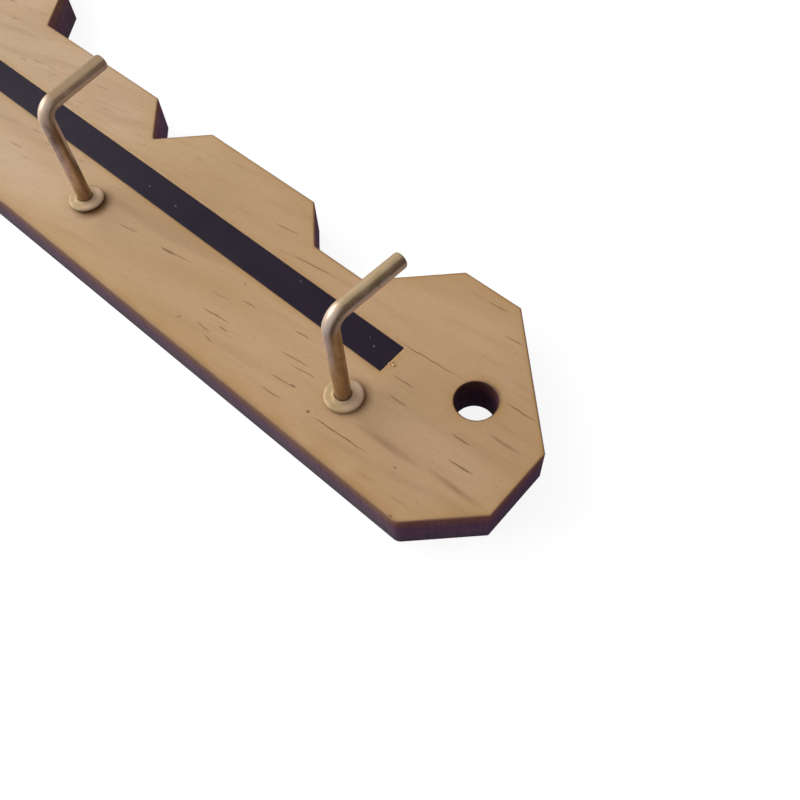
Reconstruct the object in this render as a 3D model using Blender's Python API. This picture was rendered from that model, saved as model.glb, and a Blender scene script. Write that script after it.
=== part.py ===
"""Key-shaped wall rack: a laser-cut board in the outline of a house key, with a black inlaid groove
line and a row of screw-in brass L-hooks.

Frame: metres. +X runs along the blade to its tip, +Y towards the toothed edge (up on the wall), +Z out
of the front face. The origin is the middle of the board's outline, on its flat back face.
"""

import math

import bmesh
import bpy
from mathutils import Matrix, Vector

MM = 0.001

# Board
BOARD_LENGTH = 300 * MM
BOARD_THICKNESS = 9 * MM

# Key blade, measured back from its tip and up from its straight lower edge
BLADE_HEIGHT = 48.9 * MM
TIP_LOW_CHAMFER = 11.4 * MM
TIP_HIGH_CHAMFER = 22.3 * MM
TIP_TOOTH_END = 36.0 * MM
FIRST_CUT_DEPTH = 14.4 * MM
FIRST_CUT_END = 64.0 * MM
TOOTH_HEIGHT = 43.1 * MM
V_CUT_CENTRE = 114.3 * MM
V_CUT_DEPTH = 9.5 * MM

# Key bow: a steep step up from the blade, a gentle flare, straight sides and a chamfered end
BLADE_END = 166.8 * MM
SHOULDER_RISE = 11.9 * MM
SHOULDER_ANGLE = math.radians(52.7)
FLARE_LENGTH = 54.0 * MM
FLARE_ANGLE = math.radians(22.5)
BOW_CHAMFER = 28.0 * MM

# Screw holes that the rack hangs by
SCREW_HOLE_RADIUS = 4.0 * MM
SCREW_HOLE_INSET = 15.9 * MM
SCREW_HOLE_HEIGHT = 27.2 * MM

# Groove line
GROOVE_START = 33.5 * MM
GROOVE_END = 176.0 * MM
GROOVE_LOW = 20.75 * MM
GROOVE_WIDTH = 6.65 * MM
GROOVE_DEPTH = 3.0 * MM

# Hooks
HOOK_COUNT = 4
HOOK_PITCH = 76.2 * MM
FIRST_HOOK = 34.9 * MM
HOOK_LINE_HEIGHT = 12.35 * MM
HOOK_TURNS = [math.radians(angle) for angle in (-3.0, 7.2, 0.0, 0.0)]
WIRE_RADIUS = 1.55 * MM
ARM_HEIGHT = 24.15 * MM
ARM_REACH = 16.45 * MM
ELBOW_RADIUS = 2.9 * MM
END_ROUNDING = 0.35 * MM
THREAD_LENGTH = 7.5 * MM
THREAD_PITCH = 1.25 * MM
THREAD_CREST = 1.5 * MM
THREAD_CORE = 1.1 * MM
RIDGE_HALF_WIDTH = 0.25 * THREAD_PITCH
POINT_LENGTH = 1.6 * MM
POINT_RADIUS = 0.4 * MM
COLLAR_RADIUS = 3.8 * MM
COLLAR_THICKNESS = 1.05 * MM
COLLAR_RIM = 0.65 * MM
COLLAR_RIM_WIDTH = 0.55 * MM
COLLAR_LIP = 0.3 * MM

# Clearances and facets
GAP = 0.3 * MM
BLIND_HOLE_DEPTH = THREAD_LENGTH + GAP
HOLE_FACETS = 32
WIRE_FACETS = 16
ELBOW_STEPS = 8
RINGS_PER_TURN = 4
OVERCUT = 1.0 * MM


def clear_scene():
    for obj in list(bpy.data.objects):
        bpy.data.objects.remove(obj, do_unlink=True)


def make_material(name, color, roughness, metallic=0.0):
    material = bpy.data.materials.new(name)
    material.use_nodes = True
    shader = material.node_tree.nodes["Principled BSDF"]
    shader.inputs["Base Color"].default_value = (*color, 1.0)
    shader.inputs["Roughness"].default_value = roughness
    shader.inputs["Metallic"].default_value = metallic
    material.diffuse_color = (*color, 1.0)
    return material


def make_mesh(name, bm):
    bmesh.ops.recalc_face_normals(bm, faces=bm.faces)
    mesh = bpy.data.meshes.new(name)
    bm.to_mesh(mesh)
    bm.free()
    return mesh


def add_object(name, mesh, material=None, parent=None):
    obj = bpy.data.objects.new(name, mesh)
    bpy.context.scene.collection.objects.link(obj)
    obj.parent = parent
    if material and not mesh.materials:
        mesh.materials.append(material)
    return obj


def add_empty(name, parent=None):
    empty = bpy.data.objects.new(name, None)
    empty.empty_display_size = 0.01
    bpy.context.scene.collection.objects.link(empty)
    empty.parent = parent
    return empty


def shade_round(mesh, angle=math.radians(35)):
    mesh.shade_smooth()
    mesh.set_sharp_from_angle(angle=angle)


def on_board(from_tip, height):
    """A point of the board's plan, from its distance behind the tip and its height on the blade."""
    return Vector((BOARD_LENGTH / 2 - from_tip, height - BLADE_HEIGHT / 2))


def bow_half():
    """One side of the bow's outline, as distances from the tip and from the blade's centre line."""
    shoulder = BLADE_END + SHOULDER_RISE / math.tan(SHOULDER_ANGLE)
    shoulder_height = TOOTH_HEIGHT - BLADE_HEIGHT / 2 + SHOULDER_RISE
    flare_end = shoulder + FLARE_LENGTH
    flare_height = shoulder_height + FLARE_LENGTH * math.tan(FLARE_ANGLE)
    return [
        (shoulder, shoulder_height),
        (flare_end, flare_height),
        (BOARD_LENGTH - BOW_CHAMFER, flare_height),
        (BOARD_LENGTH, flare_height - BOW_CHAMFER),
    ]


def board_outline():
    """The key's outline, anticlockwise from the straight lower edge's end at the tip."""
    first_floor = BLADE_HEIGHT - FIRST_CUT_DEPTH
    first_rise = TOOTH_HEIGHT - first_floor
    middle = BLADE_HEIGHT / 2
    tip = [
        (TIP_LOW_CHAMFER, 0.0),
        (0.0, TIP_LOW_CHAMFER),
        (0.0, BLADE_HEIGHT - TIP_HIGH_CHAMFER),
        (TIP_HIGH_CHAMFER, BLADE_HEIGHT),
        (TIP_TOOTH_END, BLADE_HEIGHT),
    ]
    teeth = [
        (TIP_TOOTH_END + FIRST_CUT_DEPTH, first_floor),
        (FIRST_CUT_END, first_floor),
        (FIRST_CUT_END + first_rise, TOOTH_HEIGHT),
        (V_CUT_CENTRE - V_CUT_DEPTH, TOOTH_HEIGHT),
        (V_CUT_CENTRE, TOOTH_HEIGHT - V_CUT_DEPTH),
        (V_CUT_CENTRE + V_CUT_DEPTH, TOOTH_HEIGHT),
        (BLADE_END, TOOTH_HEIGHT),
    ]
    half = bow_half()
    upper_bow = [(along, middle + out) for along, out in half]
    lower_bow = [(along, middle - out) for along, out in reversed(half)]
    shoulder, shoulder_out = half[0]
    heel_rise = shoulder_out - middle
    heel = [(shoulder - heel_rise / math.tan(SHOULDER_ANGLE), 0.0)]
    return [on_board(*corner) for corner in tip + teeth + upper_bow + lower_bow + heel]


def prism(name, outline, low, high):
    """A straight-sided block with the given plan, from one height to another."""
    bm = bmesh.new()
    base = bm.faces.new([bm.verts.new((*corner, low)) for corner in outline])
    walls = bmesh.ops.extrude_face_region(bm, geom=[base])["geom"]
    raised = [item for item in walls if isinstance(item, bmesh.types.BMVert)]
    bmesh.ops.translate(bm, verts=raised, vec=(0.0, 0.0, high - low))
    return make_mesh(name, bm)


def round_cutter(name, centre, radius, low, high):
    bm = bmesh.new()
    middle = Matrix.Translation((*centre, (low + high) / 2))
    bmesh.ops.create_cone(
        bm,
        cap_ends=True,
        segments=HOLE_FACETS,
        radius1=radius,
        radius2=radius,
        depth=high - low,
        matrix=middle,
    )
    return make_mesh(name, bm)


def groove_plan(margin):
    """The groove line's rectangle, shrunk by a margin on every side."""
    low = GROOVE_LOW + margin
    high = GROOVE_LOW + GROOVE_WIDTH - margin
    near = GROOVE_START + margin
    far = GROOVE_END - margin
    return [on_board(near, low), on_board(near, high), on_board(far, high), on_board(far, low)]


def cut(board, mesh):
    cutter = add_object(mesh.name, mesh, parent=board.parent)
    cutter.hide_render = True
    cutter.display_type = "WIRE"
    modifier = board.modifiers.new(mesh.name, "BOOLEAN")
    modifier.operation = "DIFFERENCE"
    modifier.solver = "EXACT"
    modifier.object = cutter


def screw_hole_centres():
    ends = (SCREW_HOLE_INSET, BOARD_LENGTH - SCREW_HOLE_INSET)
    return [on_board(end, SCREW_HOLE_HEIGHT) for end in ends]


def hook_feet():
    """Where each hook's axis meets the front face, from the tip to the bow."""
    places = [FIRST_HOOK + HOOK_PITCH * index for index in range(HOOK_COUNT)]
    return [Vector((*on_board(place, HOOK_LINE_HEIGHT), BOARD_THICKNESS)) for place in places]


def make_board(rack, material):
    board = add_object(
        "key_board",
        prism("key_board", board_outline(), 0.0, BOARD_THICKNESS),
        material,
        rack,
    )
    top = BOARD_THICKNESS + OVERCUT
    for number, centre in enumerate(screw_hole_centres(), 1):
        name = f"screw_hole_cutter_{number}"
        cut(board, round_cutter(name, centre, SCREW_HOLE_RADIUS, -OVERCUT, top))
    pocket = prism("groove_cutter", groove_plan(0.0), BOARD_THICKNESS - GROOVE_DEPTH, top)
    cut(board, pocket)
    for number, foot in enumerate(hook_feet(), 1):
        name = f"pilot_hole_cutter_{number}"
        floor = BOARD_THICKNESS - BLIND_HOLE_DEPTH
        cut(board, round_cutter(name, foot.to_2d(), WIRE_RADIUS + GAP, floor, top))


def make_inlay(rack, material):
    floor = BOARD_THICKNESS - GROOVE_DEPTH + GAP
    mesh = prism("groove_inlay", groove_plan(GAP), floor, BOARD_THICKNESS)
    add_object("groove_inlay", mesh, material, rack)


def thread_radii(height):
    """The shank's radii below the front face, round its axis: a helical ridge and a point."""
    taper = min(1.0, (height + THREAD_LENGTH) / POINT_LENGTH)
    radii = []
    for step in range(WIRE_FACETS):
        along_helix = (height - THREAD_PITCH * step / WIRE_FACETS) % THREAD_PITCH
        from_crest = abs(along_helix - THREAD_PITCH / 2)
        ridge = max(0.0, 1.0 - from_crest / RIDGE_HALF_WIDTH)
        radius = THREAD_CORE + (THREAD_CREST - THREAD_CORE) * ridge
        radii.append(POINT_RADIUS + (radius - POINT_RADIUS) * taper)
    return radii


def ring(bm, centre, across, radii):
    """A ring of points about a centre, in the plane of +X and the direction across."""
    points = []
    for step, radius in enumerate(radii):
        angle = math.tau * step / WIRE_FACETS
        spoke = Vector((math.cos(angle), 0.0, 0.0)) + across * math.sin(angle)
        points.append(bm.verts.new(centre + spoke * radius))
    return points


def hook_mesh():
    """One bent wire: pointed screw thread, straight post, elbow, and an arm along +Y."""
    bm = bmesh.new()
    rings = []
    forward = Vector((0.0, 1.0, 0.0))
    upward = Vector((0.0, 0.0, 1.0))
    wire = [WIRE_RADIUS] * WIRE_FACETS
    cut_end = [WIRE_RADIUS - END_ROUNDING] * WIRE_FACETS

    thread_steps = round(THREAD_LENGTH / THREAD_PITCH * RINGS_PER_TURN)
    for step in range(thread_steps):
        height = -THREAD_LENGTH + THREAD_PITCH * step / RINGS_PER_TURN
        rings.append(ring(bm, upward * height, forward, thread_radii(height)))
    rings.append(ring(bm, Vector(), forward, wire))

    bend_centre = Vector((0.0, ELBOW_RADIUS, ARM_HEIGHT - ELBOW_RADIUS))
    for step in range(ELBOW_STEPS + 1):
        angle = math.pi / 2 * step / ELBOW_STEPS
        outward = -forward * math.cos(angle) + upward * math.sin(angle)
        rings.append(ring(bm, bend_centre + outward * ELBOW_RADIUS, -outward, wire))
    arm_end = Vector((0.0, ARM_REACH, ARM_HEIGHT))
    rings.append(ring(bm, arm_end - forward * END_ROUNDING, -upward, wire))
    rings.append(ring(bm, arm_end, -upward, cut_end))

    for lower, upper in zip(rings, rings[1:]):
        for step in range(WIRE_FACETS):
            after = (step + 1) % WIRE_FACETS
            bm.faces.new((lower[step], lower[after], upper[after], upper[step]))
    bm.faces.new(list(reversed(rings[0])))
    bm.faces.new(rings[-1])
    mesh = make_mesh("hook_wire", bm)
    shade_round(mesh)
    return mesh


def collar_mesh():
    """A domed washer turned about the hook's axis, open for the wire in the middle."""
    bore = WIRE_RADIUS + GAP
    shoulder = COLLAR_RADIUS - COLLAR_RIM_WIDTH
    profile = [
        (bore, GAP),
        (bore, COLLAR_THICKNESS),
        (bore + COLLAR_LIP, COLLAR_THICKNESS + COLLAR_LIP / 2),
        ((bore + shoulder) / 2, COLLAR_THICKNESS),
        (shoulder, (COLLAR_THICKNESS + COLLAR_RIM) / 2),
        (COLLAR_RADIUS, COLLAR_RIM),
        (COLLAR_RADIUS, GAP),
    ]
    bm = bmesh.new()
    points = [bm.verts.new((radius, 0.0, height)) for radius, height in profile]
    edges = [bm.edges.new(pair) for pair in zip(points, points[1:] + points[:1])]
    bmesh.ops.spin(
        bm,
        geom=points + edges,
        axis=(0.0, 0.0, 1.0),
        cent=(0.0, 0.0, 0.0),
        steps=HOLE_FACETS,
        angle=math.tau,
        use_merge=True,
    )
    bmesh.ops.remove_doubles(bm, verts=bm.verts, dist=0.01 * MM)
    mesh = make_mesh("hook_collar", bm)
    shade_round(mesh)
    return mesh


def make_hooks(rack, wire_material, collar_material):
    wire = hook_mesh()
    collar = collar_mesh()
    for number, (foot, turn) in enumerate(zip(hook_feet(), HOOK_TURNS), 1):
        axis = add_empty(f"hook_{number}_axis", rack)
        axis.location = foot
        axis.rotation_euler.z = turn
        add_object(f"hook_wire_{number}", wire, wire_material, axis)
        add_object(f"hook_collar_{number}", collar, collar_material, axis)


def main():
    clear_scene()
    veneer = make_material("pine_veneer", (0.60, 0.42, 0.25), 0.55)
    black = make_material("black_inlay", (0.022, 0.019, 0.028), 0.45)
    wire_brass = make_material("wire_brass", (0.62, 0.50, 0.27), 0.32, 1.0)
    collar_brass = make_material("collar_brass", (0.70, 0.58, 0.34), 0.36, 1.0)
    rack = add_empty("key_rack")
    make_board(rack, veneer)
    make_inlay(rack, black)
    make_hooks(rack, wire_brass, collar_brass)


main()
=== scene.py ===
"""Looks for the key-shaped wall rack: a pine-veneered board with charred laser-cut walls, a black
inlaid line, and brass screw-in L-hooks with their collars.

Metres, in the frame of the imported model: +X runs along the key's blade to its tip, +Y towards the
teeth, +Z out of the front face. Materials work in millimetres of the same frame.
"""

import math

import bmesh
import bpy
from mathutils import Euler, Matrix, Vector, geometry, noise


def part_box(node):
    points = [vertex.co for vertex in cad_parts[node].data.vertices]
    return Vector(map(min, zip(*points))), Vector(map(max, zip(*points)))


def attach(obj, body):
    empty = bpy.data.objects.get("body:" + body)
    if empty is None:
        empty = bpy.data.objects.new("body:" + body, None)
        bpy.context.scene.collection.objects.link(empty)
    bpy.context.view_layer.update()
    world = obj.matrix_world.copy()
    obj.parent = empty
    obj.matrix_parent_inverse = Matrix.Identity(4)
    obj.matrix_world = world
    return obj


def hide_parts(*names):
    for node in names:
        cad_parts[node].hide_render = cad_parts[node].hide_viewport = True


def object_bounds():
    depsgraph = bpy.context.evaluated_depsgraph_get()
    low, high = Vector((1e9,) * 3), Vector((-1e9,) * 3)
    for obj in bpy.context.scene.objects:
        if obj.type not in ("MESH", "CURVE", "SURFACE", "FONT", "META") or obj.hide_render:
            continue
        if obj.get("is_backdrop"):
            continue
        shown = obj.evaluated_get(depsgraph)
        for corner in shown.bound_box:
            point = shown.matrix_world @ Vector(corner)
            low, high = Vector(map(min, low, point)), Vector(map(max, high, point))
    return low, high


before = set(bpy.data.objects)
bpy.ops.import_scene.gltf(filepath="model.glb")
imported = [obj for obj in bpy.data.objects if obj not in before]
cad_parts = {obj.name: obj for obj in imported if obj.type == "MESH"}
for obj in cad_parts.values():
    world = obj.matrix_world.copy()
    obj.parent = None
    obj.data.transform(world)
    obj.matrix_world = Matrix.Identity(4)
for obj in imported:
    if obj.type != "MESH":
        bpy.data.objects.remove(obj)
cad_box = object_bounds()

MM = 0.001
SHARP_ANGLE = math.radians(50)

# Board: its front face and its tip are the ends of its box
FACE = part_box("key_board")[1].z
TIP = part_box("key_board")[1].x
HOOK_LINE_HEIGHT = 12.35 * MM
BLADE_LOW = sum(corner.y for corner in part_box("hook_collar_1")) / 2 - HOOK_LINE_HEIGHT
CORNER_ROUNDING = 0.45 * MM
WORN_CORNER_ROUNDING = 2 * MM
WORN_CORNER_REACH = 15 * MM
KERF_ROUNDING = 0.12 * MM
EDGE_STEP = 1.2 * MM
RIM_EASE = 0.16 * MM
HOLE_EASE = 0.18 * MM
RIM_WAVER = 0.05 * MM
WAVERS_PER_METRE = 900
POCKET_DEPTH = 3 * MM
PILOT_DEPTH = 7.8 * MM
LARGEST_PILOT_RADIUS = 2.5 * MM
HOLE_FACETS = 96

# An eased edge has a point between its two faces, this share of its ease from each
KNEE = 0.3

# The board's materials, in the order that its mesh has them
FRONT, WALL, BACK, CORE, BORE = range(5)

# Smoke on the face: deepest by edges that face away from the teeth, and to one side of a hole
SOOT_REACH = 4.2 * MM
HOLE_SOOT_REACH = 2.1 * MM
SOOT_FALLOFF = 1.4
RIM_SOOT = 0.78
LEAST_EDGE_SOOT = 0.3
EVEN_HOLE_SOOT = 0.35
LEANING_HOLE_SOOT = 0.8
UNDER_COLLAR_SOOT = 0.9
SMOKE_SIDE = Vector((0.35, 0.94))
FAR_SIDE_SHARE = 0.15

# The dark crescent beside each hook's collar, painted shadow with some scorch: the side it lies on, its
# strength and its width
SHADOW_SCORCHES = {
    1: ((0.77, 0.64), 0.84, 2.3 * MM),
    2: ((1, 0.05), 1.35, 2.9 * MM),
    3: ((0.9, 0.44), 0.75, 2.2 * MM),
    4: ((0.96, -0.28), 0.95, 2.4 * MM),
}
SHADOW_SCORCH_NARROWNESS = 1.3
# The rings that draw it: their distance outside the collar in widths, and how dark each is
SHADOW_SCORCH_RINGS = ((1, 0), (0.6, 0.35), (0.3, 0.62), (0, 1), (-0.2, 1))

# Inlaid line
PACKED_GAP = 0.3 * MM
INLAY_CLEARANCE = 0.03 * MM
INLAY_SET_BACK = 0.02 * MM
INLAY_EASE = 0.07 * MM

# Glue
GLUE_LUMPS_PER_METRE = 2200
GLUE_BULGE = 0.12
GLUE_SUNK = 0.02 * MM

# Hooks
HOOKS = (1, 2, 3, 4)
WIRE_RADIUS = 1.55 * MM
WIRE_FACETS = 40
WIRE_SPACING = 100
ELBOW_RADIUS = 2.9 * MM
ELBOW_STEPS = 28
ELBOW_THINNING = 0.035
THREAD_LENGTH = 7.5 * MM
THREAD_PITCH = 1.25 * MM
THREAD_CREST = 1.5 * MM
THREAD_CORE = 1.1 * MM
RIDGE_HALF_WIDTH = 0.25 * THREAD_PITCH
RINGS_PER_TURN = 16
POINT_LENGTH = 1.6 * MM
POINT_RADIUS = 0.4 * MM

# Collars
COLLAR_RADIUS = 3.8 * MM
COLLAR_FACETS = 112
COLLAR_SEAT = 0.02 * MM
DENT_DEPTH = 0.02 * MM

# Stage
DAYLIGHT = (1, 0.97, 0.93)
LAMP_TARGET = (0.02, 0, 0)
FLOOR_RADIUS = 1.6
FLOOR_GAP = 0.25 * MM


# ---------- plans read from the CAD


def with_neighbours(points):
    """Each point of a closed loop, between the one before it and the one after."""
    return zip(points[-1:] + points[:-1], points, points[1:] + points[:1])


def left_of(direction):
    return Vector((-direction.y, direction.x))


def signed_area(loop):
    pairs = zip(loop, loop[1:] + loop[:1])
    return sum(a.x * b.y - b.x * a.y for a, b in pairs) / 2


def without_straight_points(loop):
    """The loop's true corners, without the points that lie on straight runs."""
    corners = []
    for before, here, after in with_neighbours(loop):
        turn = (here - before).normalized().cross((after - here).normalized())
        if abs(turn) > 0.01:
            corners.append(here)
    return corners


def face_loops(node, height):
    """The closed outlines of a CAD node's flat face at one height. The outer one runs anticlockwise."""
    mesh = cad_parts[node].data
    mesh.calc_loop_triangles()
    places = [tuple(round(value, 6) for value in vertex.co) for vertex in mesh.vertices]
    edges = set()
    for triangle in mesh.loop_triangles:
        corners = [places[index] for index in triangle.vertices]
        if all(abs(corner[2] - height) < 0.01 * MM for corner in corners):
            for edge in zip(corners, corners[1:] + corners[:1]):
                if edge[::-1] in edges:
                    edges.remove(edge[::-1])
                else:
                    edges.add(edge)
    following = dict(edges)
    loops = []
    while following:
        start = min(following)
        loop = []
        here = start
        while here in following:
            loop.append(Vector(here[:2]))
            here = following.pop(here)
        loops.append(without_straight_points(loop))
    loops.sort(key=lambda loop: -abs(signed_area(loop)))
    return [loop if signed_area(loop) > 0 else loop[::-1] for loop in loops]


def centre_of(loop):
    return sum(loop, Vector((0, 0))) / len(loop)


# ---------- outlines and walls


def offset_corners(corners, inset):
    """The corners of a straight-sided outline moved inwards, or outwards by a negative inset."""
    moved = []
    for before, here, after in with_neighbours(corners):
        arriving = (here - before).normalized()
        leaving = (after - here).normalized()
        inward = left_of(arriving) + left_of(leaving)
        moved.append(here + inward * (inset / (1 + arriving.dot(leaving))))
    return moved


def rounded(corners, rounding, inset, arc_steps=6):
    """The outline at one inset, with round corners and points along its straight runs.

    The rounding is one radius for all corners, or a list with one for each. Every inset gives the
    same number of points, so that outlines join up ring to ring."""
    moved = offset_corners(corners, inset)
    roundings = rounding if isinstance(rounding, list) else [rounding] * len(corners)
    arcs = []
    for (before, here, after), rounding in zip(with_neighbours(moved), roundings):
        arriving = (here - before).normalized()
        leaving = (after - here).normalized()
        turn = math.atan2(arriving.cross(leaving), arriving.dot(leaving))
        grown = rounding - inset if turn > 0 else rounding + inset
        radius = max(grown, 0.03 * MM)
        start = here - arriving * radius * math.tan(abs(turn) / 2)
        side = left_of(arriving) * math.copysign(radius, turn)
        turns = [turn * step / arc_steps for step in range(arc_steps + 1)]
        arcs.append([start + side + Matrix.Rotation(angle, 2) @ -side for angle in turns])
    points = []
    for number, arc in enumerate(arcs):
        points += arc
        beyond = (number + 1) % len(arcs)
        run = (corners[beyond] - corners[number]).length
        pieces = max(1, round(run / EDGE_STEP))
        for step in range(1, pieces):
            points.append(arc[-1].lerp(arcs[beyond][0], step / pieces))
    return points


def circle(centre, radius, facets=HOLE_FACETS):
    steps = [math.tau * step / facets for step in range(facets)]
    return [centre + Vector((math.cos(angle), math.sin(angle))) * radius for angle in steps]


def add_object(name, data):
    thing = bpy.data.objects.new(name, data)
    bpy.context.scene.collection.objects.link(thing)
    return thing


def add_mesh(name, bm, materials):
    """An object made from a bmesh, which is freed."""
    mesh = bpy.data.meshes.new(name)
    bm.to_mesh(mesh)
    bm.free()
    for material in materials:
        mesh.materials.append(material)
    return add_object(name, mesh)


class Shell:
    """A mesh put together from rings of points, with one material number to each band of faces.

    Each point's value goes up to 1 for a laser's smoke and down to -1 for the painted shadow, with some
    scorch, beside a collar."""

    def __init__(self, name):
        self.name = name
        self.bm = bmesh.new()
        self.soot_and_shade = self.bm.verts.layers.float.new("soot_and_shade")

    def ring(self, points, height, soot_and_shade=0):
        """Points of a plan at one height. Both may also vary from point to point."""
        row = []
        for number, point in enumerate(points):
            vertex = self.bm.verts.new((point.x, point.y, height))
            vertex[self.soot_and_shade] = soot_and_shade[number] if isinstance(soot_and_shade, list) else soot_and_shade
            row.append(vertex)
        return row

    def bands(self, rows, materials=None):
        """Faces from each ring to the next, of the first material unless each band has its own."""
        for number, (lower, upper) in enumerate(zip(rows, rows[1:])):
            for step in range(len(lower)):
                after = (step + 1) % len(lower)
                face = self.bm.faces.new((lower[step], lower[after], upper[after], upper[step]))
                face.material_index = materials[number] if materials else 0

    def fill(self, outer, holes=(), material=0, upward=True):
        """A flat face with holes in it, between rings that are already there."""
        rings = [outer, *holes]
        vertices = [vertex for row in rings for vertex in row]
        plans = [[vertex.co / MM for vertex in row] for row in rings]
        for triangle in geometry.tessellate_polygon(plans):
            corners = [vertices[index] for index in triangle]
            normal = (corners[1].co - corners[0].co).cross(corners[2].co - corners[0].co)
            if (normal.z > 0) != upward:
                corners.reverse()
            face = self.bm.faces.new(corners)
            face.material_index = material

    def finish(self, materials, body, node):
        """Makes the shell into the piece that stands in for one CAD node."""
        bmesh.ops.recalc_face_normals(self.bm, faces=self.bm.faces)
        piece = add_mesh(self.name, self.bm, materials)
        piece.data.shade_smooth()
        piece.data.set_sharp_from_angle(angle=SHARP_ANGLE)
        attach(piece, body)
        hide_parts(node)


# ---------- materials


class Paint:
    """Builds one material's nodes from short calls. A value is a number, a colour or a socket."""

    def __init__(self, name, constants=None):
        self.material = bpy.data.materials.new(name)
        self.material.use_nodes = True
        self.tree = self.material.node_tree
        self.shader = self.tree.nodes["Principled BSDF"]
        self.color = None
        for socket, value in (constants or {}).items():
            self.put(value, self.shader.inputs[socket])
        place = self.tree.nodes.new("ShaderNodeTexCoord").outputs["Object"]
        inputs = {0: place, "Scale": 1 / MM}
        self.mm = self.node("ShaderNodeVectorMath", inputs, operation="SCALE").outputs[0]
        self.x, self.y, self.z = self.parts(self.mm)

    def put(self, value, socket):
        if isinstance(value, bpy.types.NodeSocket):
            self.tree.links.new(value, socket)
        elif isinstance(value, tuple) and socket.type == "RGBA":
            socket.default_value = (*value, 1)
        else:
            socket.default_value = value

    def node(self, kind, inputs=None, **settings):
        node = self.tree.nodes.new(kind)
        for name, value in settings.items():
            setattr(node, name, value)
        for socket, value in (inputs or {}).items():
            self.put(value, node.inputs[socket])
        return node

    def math(self, operation, a, b=0, c=0):
        return self.node("ShaderNodeMath", {0: a, 1: b, 2: c}, operation=operation).outputs[0]

    def minus(self, a, b):
        return self.math("SUBTRACT", a, b)

    def times(self, product, *others):
        for other in others:
            product = self.math("MULTIPLY", product, other)
        return product

    def scaled(self, value, scale, start):
        return self.math("MULTIPLY_ADD", value, scale, start)

    def apart(self, value, centre):
        """How far a value is from a centre, either way."""
        return self.math("ABSOLUTE", self.minus(value, centre))

    def parts(self, vector):
        return self.node("ShaderNodeSeparateXYZ", {0: vector}).outputs

    def vector(self, x, y, z=0):
        return self.node("ShaderNodeCombineXYZ", {0: x, 1: y, 2: z}).outputs[0]

    def stretched(self, x, y, z, along, across, up=1):
        """Coordinates divided by a feature's size in each direction, in millimetres."""
        return self.vector(
            self.math("DIVIDE", x, along),
            self.math("DIVIDE", y, across),
            self.math("DIVIDE", z, up),
        )

    def noise(self, vector, scale=1, detail=2, roughness=0.5):
        inputs = {"Vector": vector, "Scale": scale, "Detail": detail, "Roughness": roughness}
        return self.node("ShaderNodeTexNoise", inputs).outputs["Fac"]

    def texture(self, place, sizes, detail=2, roughness=0.5):
        """Noise whose features have a size in each direction, in millimetres."""
        return self.noise(self.stretched(*place, *sizes), 1, detail, roughness)

    def cells(self, vector, scale=1, dimensions="3D"):
        inputs = {"Vector": vector, "Scale": scale}
        return self.node("ShaderNodeTexVoronoi", inputs, voronoi_dimensions=dimensions).outputs

    def fade(self, value, start, end, low=0, high=1):
        """A smooth step from low to high as the value goes from start to end."""
        inputs = {"Value": value, 1: start, 2: end, 3: low, 4: high}
        return self.node("ShaderNodeMapRange", inputs, interpolation_type="SMOOTHSTEP").outputs[0]

    def specks(self, cells, rarity, edge, core):
        """Round specks in the few cells whose random number is above a rarity."""
        kept = self.math("GREATER_THAN", self.parts(cells["Color"])[0], rarity)
        return self.times(kept, self.fade(cells["Distance"], edge, core))

    def mix(self, amount, first, second, blend="MIX"):
        inputs = {0: amount, 6: first, 7: second}
        return self.node("ShaderNodeMix", inputs, data_type="RGBA", blend_type=blend).outputs[2]

    def coat(self, amount, color, blend="MIX"):
        """Lays another colour over the colour so far."""
        self.color = self.mix(amount, self.color, color, blend)

    def done(self, roughness, relief=0, depth=0, strength=0):
        """The finished material, with the colour so far and a relief as deep as stated."""
        self.put(self.color, self.shader.inputs["Base Color"])
        self.put(roughness, self.shader.inputs["Roughness"])
        if strength:
            inputs = {"Height": relief, "Distance": depth, "Strength": strength}
            bump = self.node("ShaderNodeBump", inputs).outputs[0]
            self.put(bump, self.shader.inputs["Normal"])
        return self.material


# Divides a coordinate down to nothing
NO_EFFECT = 1.0e6

# Marks placed one by one on the front veneer, and dust on the black line: distance behind the tip,
# height on the blade, length, half width and slope, in millimetres and degrees, and then strength.
STREAKS = [
    (25.8, 46.3, 5.8, 0.2, 7, 0.85),
    (30.5, 45.9, 5, 0.16, 4, 0.35),
    (18.5, 42, 5.8, 0.17, 6, 0.8),
    (28.7, 28.5, 17.8, 0.18, 4.6, 0.95),
    (8.6, 30.5, 8.6, 0.24, 4.5, 0.8),
    (6.6, 23.5, 8.6, 0.38, 2, 0.55),
    (28.5, 21.8, 6.6, 0.22, 4.5, 0.8),
    (26.8, 18.1, 5.4, 0.22, 4, 0.75),
    (13, 19.3, 4.8, 0.26, 4, 0.85),
    (9.5, 15.1, 6.6, 0.24, 5, 0.85),
    (30.4, 6.1, 14.8, 0.24, 5, 0.9),
    (50.4, 17.2, 4.2, 0.24, 6, 0.85),
    (47.5, 12.4, 8.6, 0.2, 8, 0.75),
    (44.4, 11.4, 7.2, 0.2, 8, 0.75),
    (46, 7.5, 6.8, 0.2, 8, 0.8),
    (45.7, 4.3, 6, 0.22, 6, 0.8),
    (60.5, 30.6, 13.4, 0.22, 8, 0.95),
    (67.5, 29.3, 5, 0.15, 6, 0.5),
    (71.6, 34.1, 7.6, 0.25, 9, 0.65),
    (86.4, 14.2, 5.2, 0.34, 6, 0.95),
    (84, 14.7, 9.2, 0.2, 8, 0.6),
    (97.8, 12.9, 6.6, 0.22, 12, 0.65),
    (63.4, 15.7, 4.4, 0.22, 10, 0.8),
    (69.5, 13.4, 5.6, 0.15, 10, 0.55),
    (66.7, 9.6, 8.4, 0.2, 7, 0.9),
    (63.1, 8.3, 3.2, 0.24, 4, 0.85),
    (66.5, 6.1, 4.8, 0.22, 4, 0.7),
    (63.7, 4.9, 2.8, 0.22, -4, 0.7),
]
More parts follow.
